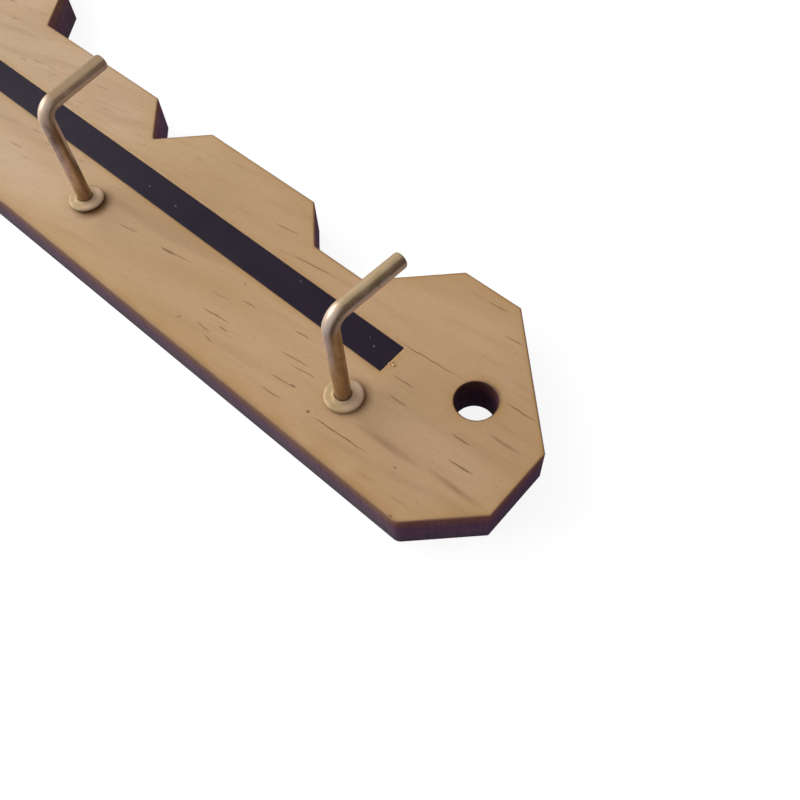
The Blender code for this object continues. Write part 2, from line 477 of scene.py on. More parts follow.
SPOTS = [
    (37.7, 5.9, 0.8, 0.55, 70, 1),
    (43.7, 8, 1.6, 0.28, 8, 1),
    (18.2, 7.7, 0.7, 0.3, 0, 0.85),
    (67.9, 18.7, 1.5, 0.16, -18, 0.8),
    (72.1, 4.8, 1.3, 0.34, 60, 0.75),
    (12.8, 0.5, 1, 0.34, 0, 1),
]
SOFT_BANDS = [
    (21.6, 10.2, 19, 1.2, 4, 1),
    (8.1, 11.3, 16, 1.1, 2.5, 0.9),
    (21, 3.1, 6.5, 0.55, 5, 0.6),
    (13.5, 3.3, 6.5, 0.5, 2, 0.55),
    (82.5, 31.6, 6, 0.55, 8, 0.4),
    (92.8, 40.2, 5, 0.5, 6, 0.4),
    (101.3, 36, 4, 0.5, 10, 0.5),
    (99.5, 30.7, 5, 0.5, 10, 0.45),
    (130.3, 33, 6, 0.5, 15, 0.55),
    (152, 33.8, 7, 0.5, 5, 0.45),
]
DUST = [
    (40, 25.1, 0.5, 0.2, -40, 0.45),
    (38.1, 24.1, 0.8, 0.2, -40, 0.9),
    (59.8, 26.2, 0.7, 0.22, -20, 0.65),
    (94.8, 23.4, 1.1, 0.26, -8, 0.6),
    (103.6, 23.6, 0.8, 0.28, -20, 0.6),
]


def marks(paint, x, y, places, core=0.5):
    """How far a point lies inside the darkest of some tapering marks on the front face, from 0 to 1.
    A mark is at its full strength inside its core, a share of its size.

    Each mark takes the one before as its third coordinate, where it has no effect, so that they are
    worked out one after another and the shader never holds many values at once."""
    deepest = 0
    for from_tip, height, length, half_width, slope, strength in places:
        inputs = {
            "Vector": paint.vector(x, y, deepest),
            "Location": (TIP / MM - from_tip, BLADE_LOW / MM + height, 0),
            "Rotation": (0, 0, math.radians(slope)),
            "Scale": (length / 2, half_width * 0.9, NO_EFFECT),
        }
        within = paint.node("ShaderNodeMapping", inputs, vector_type="TEXTURE").outputs[0]
        reach = paint.node("ShaderNodeVectorMath", {0: within}, operation="LENGTH").outputs["Value"]
        mark = paint.fade(reach, 1, core, 0, strength)
        deepest = paint.math("MAXIMUM", deepest, mark)
    return deepest


def start_with_pine(paint, grain, behind_tip, seed):
    """The veneer's colour without its fibres: paler towards the bow, partly its own tone and partly
    painted light that is stronger away from the tip, and more golden in between.
    """
    broad = paint.texture((paint.x, grain, seed + 3), (60, 11), 1)
    band = paint.texture((paint.x, grain, seed + 5), (42, 4.2), 3, 0.55)
    blotch = paint.texture((paint.x, paint.y, seed + 11), (16, 9))
    # Paler towards the bow: partly the wood's own tone, partly painted light falling off towards the
    # tip.
    towards_bow = paint.fade(behind_tip, 60, 150)
    pale = paint.mix(towards_bow, (0.572, 0.375, 0.221), (0.56, 0.4, 0.256))
    warm = paint.mix(towards_bow, (0.522, 0.328, 0.178), (0.511, 0.353, 0.216))
    paint.color = paint.mix(paint.fade(broad, 0.36, 0.66), pale, warm)
    paint.coat(paint.fade(blotch, 0.35, 0.72, 0, 0.3), (0.52, 0.35, 0.185))
    golden = paint.fade(paint.apart(behind_tip, 88), 42, 12)
    paint.coat(paint.times(golden, 0.16), (0.42, 0.245, 0.075))
    paint.coat(paint.fade(band, 0.52, 0.72, 0, 0.34), (0.355, 0.222, 0.118))


def scattered_resin(paint, grain, behind_tip, seed):
    """Resin streaks: thin ellipses, each in one cell of a stretched grid. Few cells have one."""
    bend_shade = paint.texture((paint.x, grain, seed + 13), (3.5, 3), 1)
    bent = paint.scaled(bend_shade, 0.9, grain)
    crowd = paint.texture((paint.x, paint.y, seed + 15), (30, 12), 1)
    crowded = paint.fade(paint.apart(behind_tip, 62), 34, 12)
    crowd = paint.scaled(crowded, 0.16, crowd)
    density = paint.fade(crowd, 0.48, 0.82, 0.992, 0.915)
    resin = 0
    for along, across, rarer in ((6.5, 0.42, 0), (3.6, 0.34, 0.012)):
        place = paint.stretched(paint.x, bent, seed + along, along, across)
        cells = paint.cells(place, dimensions="2D")
        chance, depth, _ = paint.parts(cells["Color"])
        kept = paint.math("GREATER_THAN", chance, paint.math("ADD", density, rarer))
        shape = paint.fade(cells["Distance"], 0.46, 0.12)
        dash = paint.times(shape, kept, paint.fade(depth, 0, 1, 0.35, 0.95))
        resin = paint.math("MAXIMUM", resin, dash)
    return resin


def add_smoke_and_collar_shadow(paint, seed):
    """Smoke from the laser: golden brown, patchy, deepest at the cut itself. Below 0 the value draws
    the redder painted shadow, with some scorch, beside a collar."""
    soot_and_shade = paint.node("ShaderNodeAttribute", attribute_name="soot_and_shade").outputs["Fac"]
    patch = paint.texture((paint.x, paint.y, seed + 17), (7, 4))
    above_low_edge = paint.minus(paint.y, BLADE_LOW / MM)
    drift = paint.math("MAXIMUM", soot_and_shade, paint.fade(above_low_edge, 6.5, 0.5, 0, 0.55))
    haze = paint.times(drift, paint.fade(patch, 0.28, 0.66, 0.25, 0.75))
    paint.coat(paint.math("MINIMUM", haze, 0.75), (0.43, 0.235, 0.055))
    paint.coat(paint.fade(soot_and_shade, 0.6, 1, 0, 0.45), (0.165, 0.088, 0.045))
    # Painted shadow, with some scorch, on the side of each collar away from the light.
    paint.coat(paint.fade(soot_and_shade, 0, -1, 0, 0.9), (0.12, 0.046, 0.006))
    paint.coat(paint.fade(soot_and_shade, 0.88, 0.99, 0, 0.62), (0.13, 0.062, 0.04))


def veneer(name, seed, marked):
    """Flat-sawn pine veneer: soft bands, fine fibre, short brown resin streaks, pores and smoke. A
    marked sheet has the listed marks too, and few scattered streaks among them."""
    paint = Paint(name, {"Specular IOR Level": 0.3, "Specular Tint": (1, 0.88, 0.74)})
    x, y = paint.x, paint.y
    behind_tip = paint.minus(TIP / MM, x)

    # The grain rises gently towards the tip and wanders by a few degrees along the board.
    swing = paint.math("SINE", paint.times(behind_tip, math.pi / 150))
    rise = paint.scaled(behind_tip, 0.149, paint.times(swing, -2.9))
    wander = paint.texture((x, y, seed), (34, 15), 1)
    grain = paint.math("ADD", paint.math("ADD", y, rise), paint.times(wander, 3.2))

    fine = paint.texture((x, grain, seed + 7), (9, 0.62), 3, 0.6)
    fibre = paint.texture((x, grain, seed + 9), (1.6, 0.12), 2, 0.6)
    start_with_pine(paint, grain, behind_tip, seed)
    paint.coat(paint.fade(fine, 0.5, 0.78, 0, 0.24), (0.34, 0.205, 0.105))
    paint.coat(paint.fade(fibre, 0.3, 0.75, 0, 0.2), (0.33, 0.215, 0.12))

    resin = scattered_resin(paint, grain, behind_tip, seed)
    if marked:
        resin = paint.times(resin, paint.fade(behind_tip, 100, 122, 0.1, 1))
        waver = paint.texture((x, y, seed + 21), (2.4, 1.6), 1)
        wavy = paint.scaled(waver, 0.5, paint.minus(y, 0.25))
        soft = marks(paint, x, wavy, SOFT_BANDS, 0)
        soft = paint.times(soft, paint.fade(fine, 0.2, 0.7, 0.45, 0.85))
        paint.coat(soft, (0.31, 0.168, 0.096))
        resin = paint.math("MAXIMUM", resin, marks(paint, x, wavy, STREAKS))
    resin = paint.times(resin, paint.fade(fibre, 0.25, 0.55, 0.68, 1))
    if marked:
        resin = paint.math("MAXIMUM", resin, marks(paint, x, wavy, SPOTS))
    paint.coat(paint.times(resin, 0.84), (0.188, 0.09, 0.042))

    pores = paint.specks(paint.cells(paint.vector(x, y, seed), 0.72, "2D"), 0.955, 0.11, 0.05)
    paint.coat(paint.times(pores, 0.55), (0.18, 0.095, 0.05))
    add_smoke_and_collar_shadow(paint, seed)

    shine = paint.fade(fine, 0.3, 0.8, 0.5, 0.62)
    relief = paint.minus(paint.times(fibre, 0.5), resin)
    relief = paint.math("ADD", relief, paint.times(fine, 0.6))
    return paint.done(shine, relief, 0.05 * MM, 0.35)


def charred(name, near_face, middle, bottom, rim, striped=0.34):
    """A laser-cut wall: brown char just under the front face, going purple and then grey below, with
    faint upright stripes and a bare, scorched rim. It is redder round the tip and the teeth, and
    browner round the bow."""
    paint = Paint(name, {"Specular IOR Level": 0.22})
    around = paint.math("ADD", paint.times(paint.x, 0.8), paint.times(paint.y, 0.6))
    stripes = paint.texture((around, paint.y, paint.z), (0.4, 1, 14))
    clouds = paint.noise(paint.mm, 0.16, 2)
    layers = paint.texture((around, paint.y, paint.z), (8, 8, 0.9), 1)
    under_face = paint.minus(FACE / MM, paint.z)
    depth = paint.scaled(clouds, 1.6, paint.minus(under_face, 0.8))
    paint.color = paint.mix(paint.fade(depth, 1, 3.6), near_face, middle)
    paint.coat(paint.fade(depth, 4, 8), bottom)
    from_tip = paint.minus(TIP / MM, paint.x)
    height = paint.minus(paint.y, BLADE_LOW / MM)
    redder = paint.math("MAXIMUM", paint.fade(from_tip, 12.5, 11.2), paint.fade(height, 20, 28))
    browner = paint.fade(from_tip, 158, 185)
    darker = paint.fade(stripes, 0.35, 0.72, 0, striped)
    paler = paint.fade(layers, 0.45, 0.75, 0, 0.5)
    paint.coat(redder, (1, 0.78, 1), "MULTIPLY")
    paint.coat(browner, (0.9, 0.98, 0.66), "MULTIPLY")
    paint.coat(darker, (0.66, 0.6, 0.62), "MULTIPLY")
    paint.coat(paler, (1.35, 1.38, 1.32), "MULTIPLY")
    uneven = paint.scaled(paint.noise(paint.mm, 0.5, 2), 0.7, under_face)
    paint.coat(paint.fade(uneven, 0.95, 0.3, 0, 0.5), rim)
    shine = paint.fade(stripes, 0.3, 0.7, 0.58, 0.74)
    relief = paint.math("ADD", stripes, clouds)
    return paint.done(shine, relief, 0.06 * MM, 0.4)


def bare_core(name):
    """Drilled wood inside the pilot holes."""
    paint = Paint(name)
    rings = paint.texture((paint.x, paint.y, paint.z), (1.2, 1.2, 0.25), 3)
    paint.color = paint.mix(paint.fade(rings, 0.3, 0.7), (0.33, 0.2, 0.105), (0.19, 0.105, 0.055))
    return paint.done(0.85, rings, 0.1 * MM, 0.6)


def black_inlay(name):
    """Near-black satin strip with a blue-purple cast, fine rubbed lines and a few grains of dust."""
    paint = Paint(name, {"Specular IOR Level": 0.15})
    cloud = paint.fade(paint.noise(paint.mm, 0.22, 3), 0.3, 0.7)
    rubbed_and_highlight = paint.texture((paint.x, paint.y, paint.z), (7, 0.16))
    paint.color = paint.mix(cloud, (0.013, 0.0078, 0.021), (0.0172, 0.01, 0.0235))
    paint.coat(paint.fade(rubbed_and_highlight, 0.45, 0.8, 0, 0.3), (0.023, 0.018, 0.032))
    dust = marks(paint, paint.x, paint.y, DUST)
    paint.coat(paint.times(dust, 0.45), (0.3, 0.3, 0.33))
    shine = paint.fade(rubbed_and_highlight, 0.3, 0.8, 0.36, 0.47)
    return paint.done(shine, paint.math("ADD", rubbed_and_highlight, dust), 0.02 * MM, 0.3)


def beyond_first_hook(paint):
    """0 at the hook nearest the tip, and 1 at the others."""
    return paint.fade(paint.x, 90, 60)


class WirePaint(Paint):
    """Paint with places on a hook's wire: along it, round it and above the board's face."""

    def __init__(self, name, constants):
        super().__init__(name, constants)
        wire = self.node("ShaderNodeAttribute", attribute_name="wire").outputs["Vector"]
        self.along, self.side, self.outside = self.parts(wire)
        self.above = self.minus(self.z, FACE / MM)
        self.on_arm = self.fade(self.above, 20.5, 22.8)
        self.on_post = self.minus(1, self.on_arm)
        self.other_hooks = beyond_first_hook(self)
        self.other_arms = self.times(self.on_arm, self.other_hooks)
        self.mottle = self.round_texture((1.6, 1.6, 3), 3)

    def round_texture(self, sizes, detail=2, roughness=0.5):
        return self.texture((self.side, self.outside, self.along), sizes, detail, roughness)

    def facing(self, angle, start, end, low=0, high=1):
        """A fade by how squarely the surface faces one way round the wire, from -1 to 1. The side
        to the tip is at 0 degrees, and the outside of the bend at 90."""
        turn = math.radians(angle)
        across = self.times(self.side, math.cos(turn) * MM / WIRE_RADIUS)
        squarely = self.scaled(self.outside, math.sin(turn) * MM / WIRE_RADIUS, across)
        return self.fade(squarely, start, end, low, high)


def painted_sheen_strip(paint, run):
    """Where a pale strip of painted sheen goes up the post and round the outside of the bend. It is
    narrowest on the first hook."""
    edge = paint.scaled(paint.other_hooks, -0.42, -0.2)
    strip = paint.facing(139, edge, paint.math("ADD", edge, 0.45))
    low_end = paint.scaled(paint.other_hooks, -6, 7)
    high_end = paint.math("ADD", low_end, 11)
    strip = paint.times(strip, paint.fade(paint.above, low_end, high_end))
    strip = paint.times(strip, paint.fade(run, 26, 24))
    return paint.times(strip, paint.fade(paint.mottle, 0.72, 0.4, 0.6, 1))


def add_dark_reflection_lines(paint):
    """A painted dark reflection runs the length of the wire as a broken line, down the post and then
    the arm.
    """
    post_line = paint.times(paint.facing(-6, 0.93, 0.99), paint.on_post)
    dark_reflection = paint.times(post_line, paint.fade(paint.mottle, 0.3, 0.55, 0.15, 0.45))
    paint.coat(dark_reflection, (0.22, 0.14, 0.085))
    first_line = paint.minus(paint.facing(43, 0.87, 0.98), paint.other_hooks)
    arm_line = paint.times(paint.facing(22, 0.92, 0.985), paint.other_hooks)
    arm_line = paint.times(paint.math("MAXIMUM", first_line, arm_line), paint.on_arm)
    dark_reflection = paint.times(arm_line, paint.fade(paint.mottle, 0.3, 0.55, 0.5, 0.75))
    dark_reflection = paint.times(dark_reflection, paint.scaled(paint.other_arms, -0.15, 1))
    paint.coat(dark_reflection, (0.185, 0.11, 0.062))


def drawn_brass(name):
    """Plated wire: satin brass with lines drawn along it, a pale strip of painted sheen down the
    outside of its post, a painted dark reflection line on the side towards the tip, nicks, and painted
    shade with brown patina towards its foot. Painted light and shade also mark the bend, the post's
    inner side and the arms."""
    constants = {
        "Specular Tint": (0.85, 0.76, 0.64),
        "Sheen Weight": 0.08,
        "Sheen Roughness": 0.45,
        "Sheen Tint": (1, 0.9, 0.85),
    }
    paint = WirePaint(name, constants)
    above, mottle = paint.above, paint.mottle
    on_arm, on_post = paint.on_arm, paint.on_post
    other_hooks, other_arms = paint.other_hooks, paint.other_arms
    lines = paint.round_texture((0.2, 0.2, 6))
    run = paint.math("MODULO", paint.along, WIRE_SPACING)

    paint.color = paint.mix(paint.fade(mottle, 0.35, 0.68), (0.59, 0.448, 0.27), (0.5, 0.368, 0.215))
    paint.coat(paint.fade(lines, 0.5, 0.8, 0, 0.3), (0.38, 0.27, 0.175))
    # Painted shade from the board and the collar, with brown patina, darkens the wire towards its foot.
    paint.coat(paint.fade(above, 14, 1, 0, 0.54), (0.31, 0.188, 0.104))

    # The post's inner side is browner with a painted reflection of the wood, the arm's underside paler
    # with a painted reflection of the board, and the inside of the bend darker with painted shade.
    inner_reflection = paint.times(paint.facing(-35, 0, 0.7), paint.fade(above, 21, 13))
    paint.coat(paint.times(inner_reflection, 0.4), (0.33, 0.205, 0.125))
    underside_reflection = paint.times(paint.facing(-40, 0.15, 0.58), on_arm)
    paint.coat(paint.times(underside_reflection, 0.92), (0.95, 0.72, 0.55))
    # Painted shade darkens the top of the other hooks' arms away from the tip, and painted light
    # brightens their upper side towards the tip.
    crown_shade = paint.times(paint.facing(120, 0.2, 0.92, 0.2, 0.86), other_arms)
    paint.coat(crown_shade, (0.3, 0.2, 0.115))
    flank_light = paint.times(paint.facing(40, 0.7, 1, 0, 0.5), other_arms)
    paint.coat(flank_light, (0.9, 0.62, 0.385))
    # Painted shade on the inside of the bend, beside its highlight.
    bend_shade = paint.fade(paint.apart(run, 23.4), 3, 0.8)
    bend_shade = paint.times(bend_shade, paint.facing(139, 0.35, -0.1), 0.45)
    paint.coat(bend_shade, (0.24, 0.165, 0.1))
    add_dark_reflection_lines(paint)

    # A painted pale sheen up the outside of the post and round the bend.
    strip = painted_sheen_strip(paint, run)
    pale = paint.mix(other_hooks, (0.74, 0.59, 0.505), (0.93, 0.72, 0.57))
    paint.coat(strip, pale)

    # The other hooks' posts are blotted, darkened under the bend with painted shade, and brightened
    # towards the tip with a painted highlight.
    blots = paint.fade(paint.round_texture((0.55, 0.55, 0.9), 2, 0.6), 0.52, 0.68, 0, 0.45)
    blots = paint.times(blots, other_hooks, paint.fade(above, 8, 17), on_post)
    paint.coat(blots, (0.23, 0.15, 0.12))
    wedge_shade = paint.times(paint.facing(12, 0.55, 0.88), paint.fade(above, 13, 18))
    wedge_shade = paint.times(wedge_shade, other_hooks, on_post, paint.fade(mottle, 0.3, 0.6, 0.45, 0.75))
    paint.coat(wedge_shade, (0.21, 0.13, 0.09))
    rubbed_and_highlight = paint.times(paint.facing(-36, 0.87, 0.97), paint.fade(above, 8, 15))
    rubbed_and_highlight = paint.times(rubbed_and_highlight, other_hooks, on_post)
    paint.coat(paint.times(rubbed_and_highlight, 0.75), (0.8, 0.62, 0.49))

    # Metal shows least on the arms and where pale sheen, highlight and reflection are painted.
    metallic_share = paint.scaled(on_arm, -0.28, 0.8)
    metallic_share = paint.scaled(paint.math("ADD", strip, rubbed_and_highlight), -0.45, metallic_share)
    metallic_share = paint.scaled(underside_reflection, -0.3, metallic_share)
    metallic_share = paint.scaled(other_arms, -0.3, metallic_share)
    paint.put(paint.math("MAXIMUM", metallic_share, 0.08), paint.shader.inputs["Metallic"])

    place = paint.stretched(paint.side, paint.outside, paint.along, 1, 1, 1.6)
    nicks = paint.specks(paint.cells(place, 0.55), 0.88, 0.15, 0.06)
    paint.coat(paint.times(nicks, 0.7), (0.19, 0.115, 0.07))
    shine = paint.scaled(nicks, 0.2, paint.fade(mottle, 0.3, 0.7, 0.34, 0.44))
    relief = paint.minus(paint.times(lines, 0.4), nicks)
    return paint.done(shine, relief, 0.04 * MM, 0.4)


def pressed_brass(name):
    """Collar: matt pressed brass, paler and pinker towards the tip with painted light, with faint rub
    marks round its axis and painted shade against the wire. All but the first have painted shade on the
    far side."""
    paint = Paint(name, {"Metallic": 0.35, "Specular Tint": (0.8, 0.72, 0.6)})
    wire = paint.node("ShaderNodeAttribute", attribute_name="wire").outputs["Vector"]
    radius, around_x, around_y = paint.parts(wire)
    rings = paint.texture((around_x, around_y, radius), (1.6, 1.6, 0.12))
    mottle = paint.noise(paint.vector(around_x, around_y, radius), 0.9, 3)
    paint.color = paint.mix(paint.fade(mottle, 0.35, 0.7), (0.42, 0.307, 0.17), (0.38, 0.277, 0.15))
    # Painted light makes the side towards the tip paler and pinker.
    towards_tip = paint.scaled(around_y, 0.5, around_x)
    paint.coat(paint.fade(towards_tip, -0.6, 3.2, 0, 0.9), (0.64, 0.455, 0.325))
    # Painted shade browns the far side of all but the first collar.
    far_side = paint.fade(towards_tip, 2.5, -1, 0, 0.5)
    far_side_shade = paint.times(beyond_first_hook(paint), far_side)
    paint.coat(far_side_shade, (0.28, 0.205, 0.125))
    paint.coat(paint.fade(rings, 0.5, 0.8, 0, 0.14), (0.33, 0.24, 0.14))
    # Painted shade where the wire enters the collar.
    paint.coat(paint.fade(radius, 1.8, 1.6, 0, 0.6), (0.17, 0.095, 0.045))
    shine = paint.fade(mottle, 0.3, 0.7, 0.6, 0.7)
    return paint.done(shine, rings, 0.02 * MM, 0.3)


def dried_glue(name):
    """Clear amber glue."""
    paint = Paint(name, {"Specular IOR Level": 0.6})
    cloud = paint.noise(paint.mm, 2.5, 2)
    paint.color = paint.mix(paint.fade(cloud, 0.3, 0.7), (0.62, 0.42, 0.18), (0.48, 0.29, 0.11))
    return paint.done(0.25, cloud, 0.05 * MM, 0.4)


# ---------- the board


def facing_down(points):
    """For each point of an outline, how much its edge faces away from the teeth, from 0 to 1."""
    runs = [after - before for before, _, after in with_neighbours(points)]
    return [max(0, run.normalized().x) for run in runs]


def wavered(points, amount):
    """The outline with a slight unevenness, always inwards, as a burnt edge has."""
    moved = []
    for before, here, after in with_neighbours(points):
        inward = left_of((after - before).normalized())
        depth = 0.5 + 0.5 * noise.noise(Vector((here.x, here.y, 0)) * WAVERS_PER_METRE)
        moved.append(here + inward * amount * depth)
    return moved


def leaning(points, centre, side, strength, narrowness=1):
    """Soot for each point of a ring: full strength on one side of its centre, little on the other."""
    shares = [max(0, (point - centre).normalized().dot(side)) ** narrowness for point in points]
    return [strength * (FAR_SIDE_SHARE + (1 - FAR_SIDE_SHARE) * share) for share in shares]


def hook_foot(number):
    """The middle of a hook's collar, on the board's face."""
    low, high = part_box(f"hook_collar_{number}")
    foot = (low + high) / 2
    foot.z = FACE
    return foot


def cut_outline(shell, outline):
    """The board's edge: smoke on the face, an eased front rim, the wall and an eased back rim.
    Returns its innermost rings, on the front and on the back."""
    roundings = []
    for corner in outline:
        worn = corner.x > TIP - WORN_CORNER_REACH and corner.y < BLADE_LOW + MM
        roundings.append(WORN_CORNER_ROUNDING if worn else CORNER_ROUNDING)

    def ring(inset, height, soot_and_shade, waver=0):
        return shell.ring(wavered(rounded(outline, roundings, inset), waver), height, soot_and_shade)

    facing = facing_down(rounded(outline, roundings, 0))
    weights = [LEAST_EDGE_SOOT + (1 - LEAST_EDGE_SOOT) * share for share in facing]
    rows = []
    for share in (0, 0.35, 0.7, 0.9):
        inset = RIM_EASE + SOOT_REACH * (1 - share) ** SOOT_FALLOFF
        soot_and_shade = RIM_SOOT if share > 0.8 else [share * weight for weight in weights]
        rows.append(ring(inset, FACE, soot_and_shade))
    knee = RIM_EASE * KNEE
    rows.append(ring(RIM_EASE, FACE, 1, RIM_WAVER))
    rows.append(ring(knee, FACE - knee, 1, RIM_WAVER))
    for height in (FACE - RIM_EASE, FACE * 0.66, FACE * 0.33, RIM_EASE):
        rows.append(ring(0, height, 1))
    rows.append(ring(knee, knee, 1))
    rows.append(ring(RIM_EASE, 0, 0.9))
    rows.append(ring(SOOT_REACH, 0, 0))
    shell.bands(rows[::-1], [BACK] + [WALL] * 7 + [FRONT] * 4)
    return rows[0], rows[-1]


def hole_mouth(shell, centre, radius):
    """The eased edge of a hole in the front face."""
    knee = HOLE_EASE * KNEE
    steps = ((HOLE_EASE, 0), (knee, knee), (0, HOLE_EASE))
    return [shell.ring(circle(centre, radius + wider), FACE - lower, 1) for wider, lower in steps]


def cut_screw_hole(shell, centre, radius):
    """A hole right through the board, with smoke to one side. Returns its outermost rings."""
    rows = []
    for share in (0, 0.5, 0.8):
        wide = circle(centre, radius + HOLE_EASE + HOLE_SOOT_REACH * (1 - share))
        smoke = leaning(wide, centre, SMOKE_SIDE, LEANING_HOLE_SOOT * share)
        smoke = [min(1, share * EVEN_HOLE_SOOT + soot_and_shade) for soot_and_shade in smoke]
        rows.append(shell.ring(wide, FACE, smoke))
    rows += hole_mouth(shell, centre, radius)
    for wider, height, soot_and_shade in (
        (0, FACE / 2, 1),
        (0, RIM_EASE, 1),
        (RIM_EASE, 0, 0.9),
        (HOLE_SOOT_REACH, 0, 0),
    ):
        rows.append(shell.ring(circle(centre, radius + wider), height, soot_and_shade))
    shell.bands(rows[::-1], [BACK] + [BORE] * 5 + [FRONT] * 3)
    return rows[0], rows[-1]


def drill_pilot_hole(shell, centre, radius):
    """A blind hole for a hook, with the painted shadow and scorch beside its collar. Returns its
    outermost ring.
    """
    nearest = min(HOOKS, key=lambda number: (hook_foot(number).to_2d() - centre).length)
    side, depth, width = SHADOW_SCORCHES[nearest]
    rows = []
    # Rings of painted shadow, with some scorch, darkest on the side away from the light.
    for beyond, strength in SHADOW_SCORCH_RINGS:
        wide = circle(centre, COLLAR_RADIUS + width * beyond)
        shadow_scorch = leaning(wide, centre, Vector(side), -strength * depth, SHADOW_SCORCH_NARROWNESS)
        rows.append(shell.ring(wide, FACE, shadow_scorch))
    reach = COLLAR_RADIUS - radius - HOLE_EASE
    for share in (0.5, 0.8):
        wide = circle(centre, radius + HOLE_EASE + reach * (1 - share))
        rows.append(shell.ring(wide, FACE, UNDER_COLLAR_SOOT))
    rows += hole_mouth(shell, centre, radius)
    floor = FACE - PILOT_DEPTH
    rows.append(shell.ring(circle(centre, radius), floor + RIM_EASE, 1))
    rows.append(shell.ring(circle(centre, radius * 0.2), floor, 1))
    shell.bands(rows[::-1], [CORE] * 4 + [FRONT] * 7)
    shell.fill(rows[-1], material=CORE)
    return rows[0]


def cut_pocket(shell, pocket):
    """The pocket for the inlaid line. Returns its outermost ring."""
    rows = []
    for inset, height, soot_and_shade in (
        (-1.6 * MM, FACE, 0),
        (-0.6 * MM, FACE, 0.45),
        (-0.05 * MM, FACE, 0.88),
        (0, FACE - 0.05 * MM, 1),
        (0, FACE - POCKET_DEPTH, 1),
    ):
        rows.append(shell.ring(rounded(pocket, KERF_ROUNDING, inset), height, soot_and_shade))
    shell.bands(rows, [FRONT, FRONT, BORE, BORE])
    shell.fill(rows[-1], material=BORE)
    return rows[0]


def make_board(materials):
    outline, *holes = face_loops("key_board", FACE)
    pocket = next(loop for loop in holes if len(loop) == 4)
    round_holes = [loop for loop in holes if len(loop) > 4]
    shell = Shell("veneered_key_board")
    front_edge, back_edge = cut_outline(shell, outline)
    front_gaps = []
    back_gaps = []
    for loop in round_holes:
        centre = centre_of(loop)
        radius = max((point - centre).length for point in loop)
        if radius > LARGEST_PILOT_RADIUS:
            front_gap, back_gap = cut_screw_hole(shell, centre, radius)
            back_gaps.append(back_gap)
        else:
            front_gap = drill_pilot_hole(shell, centre, radius)
        front_gaps.append(front_gap)
    front_gaps.append(cut_pocket(shell, pocket))
    shell.fill(front_edge, front_gaps, FRONT)
    shell.fill(back_edge, back_gaps, BACK, upward=False)
    shell.finish(materials, "board", "key_board")


def make_inlay(material):
    """The black strip, a hair narrower than its pocket, with eased edges and a flat top."""
    packed = face_loops("groove_inlay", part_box("groove_inlay")[1].z)[0]
    strip = offset_corners(packed, INLAY_CLEARANCE - PACKED_GAP)
    top = FACE - INLAY_SET_BACK
    bottom = FACE - POCKET_DEPTH + INLAY_CLEARANCE
    knee = INLAY_EASE * KNEE
    shell = Shell("black_groove_line")
    rows = []
    for inset, height in (
        (INLAY_EASE, bottom),
        (0, bottom + INLAY_EASE),
        (0, top - INLAY_EASE),
        (knee, top - knee),
        (INLAY_EASE, top),
        (INLAY_EASE + 0.06 * MM, top),
        (0.8 * MM, top),
    ):
        rows.append(shell.ring(rounded(strip, KERF_ROUNDING, inset), height))
    shell.bands(rows)
    shell.fill(rows[0], upward=False)
    shell.fill(rows[-1])
    shell.finish([material], "board", "groove_inlay")


def make_glue(material):
    """Beads of squeezed-out glue in the middle of the groove's end nearest the tip."""
    low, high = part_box("groove_inlay")
    end = high.x + PACKED_GAP
    middle = (low.y + high.y) / 2
    bm = bmesh.new()
    # Each bead's place beyond the end and across it, radius and height, in millimetres
    beads = (
        (1.05, -0.85, 0.42, 0.3),
        (0.45, -0.45, 0.3, 0.24),
        (0.2, -1.05, 0.26, 0.18),
        (1.55, -0.7, 0.2, 0.14),
    )
    for along, across, radius, height in beads:
        centre = Vector((end + along * MM, middle + across * MM, FACE))
        squash = Matrix.Diagonal((radius * MM, radius * MM * 0.8, height * MM, 1))
        place = Matrix.Translation(centre) @ squash
        made = bmesh.ops.create_icosphere(bm, subdivisions=3, radius=1, matrix=place)
        for vertex in made["verts"]:
            bulge = noise.noise(vertex.co * GLUE_LUMPS_PER_METRE) * GLUE_BULGE
            vertex.co = centre + (vertex.co - centre) * (1 + bulge)
            vertex.co.z = max(vertex.co.z, FACE - GLUE_SUNK)
    piece = add_mesh("glue_beads", bm, [material])
    piece.data.shade_smooth()
    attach(piece, "board")


# ---------- the hooks


def thread_radius(height, angle):
    """The shank's radius below the board's face: a helical ridge, with a point at the end."""
    along_helix = (height - THREAD_PITCH * angle / math.tau) % THREAD_PITCH
    from_crest = abs(along_helix - THREAD_PITCH / 2)
    ridge = max(0, 1 - from_crest / RIDGE_HALF_WIDTH)
    radius = THREAD_CORE + (THREAD_CREST - THREAD_CORE) * ridge
    taper = min(1, (height + THREAD_LENGTH) / POINT_LENGTH)
    return POINT_RADIUS + (radius - POINT_RADIUS) * taper


def hook_measures(number):
    """Foot, arm direction, arm height and reach of one hook, from its CAD wire and its collar."""
    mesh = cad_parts[f"hook_wire_{number}"].data
    foot = hook_foot(number)
    arm_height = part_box(f"hook_wire_{number}")[1].z - WIRE_RADIUS - FACE
    spokes = [(vertex.co - foot).to_2d() for vertex in mesh.vertices]
    reach = max(spoke.length for spoke in spokes)
    ends = [spoke for spoke in spokes if spoke.length > reach - 0.2 * MM]
    direction = sum(ends, Vector((0, 0))).normalized()
    length = max(spoke.dot(direction) for spoke in spokes)
    return foot, direction.to_3d(), arm_height, length


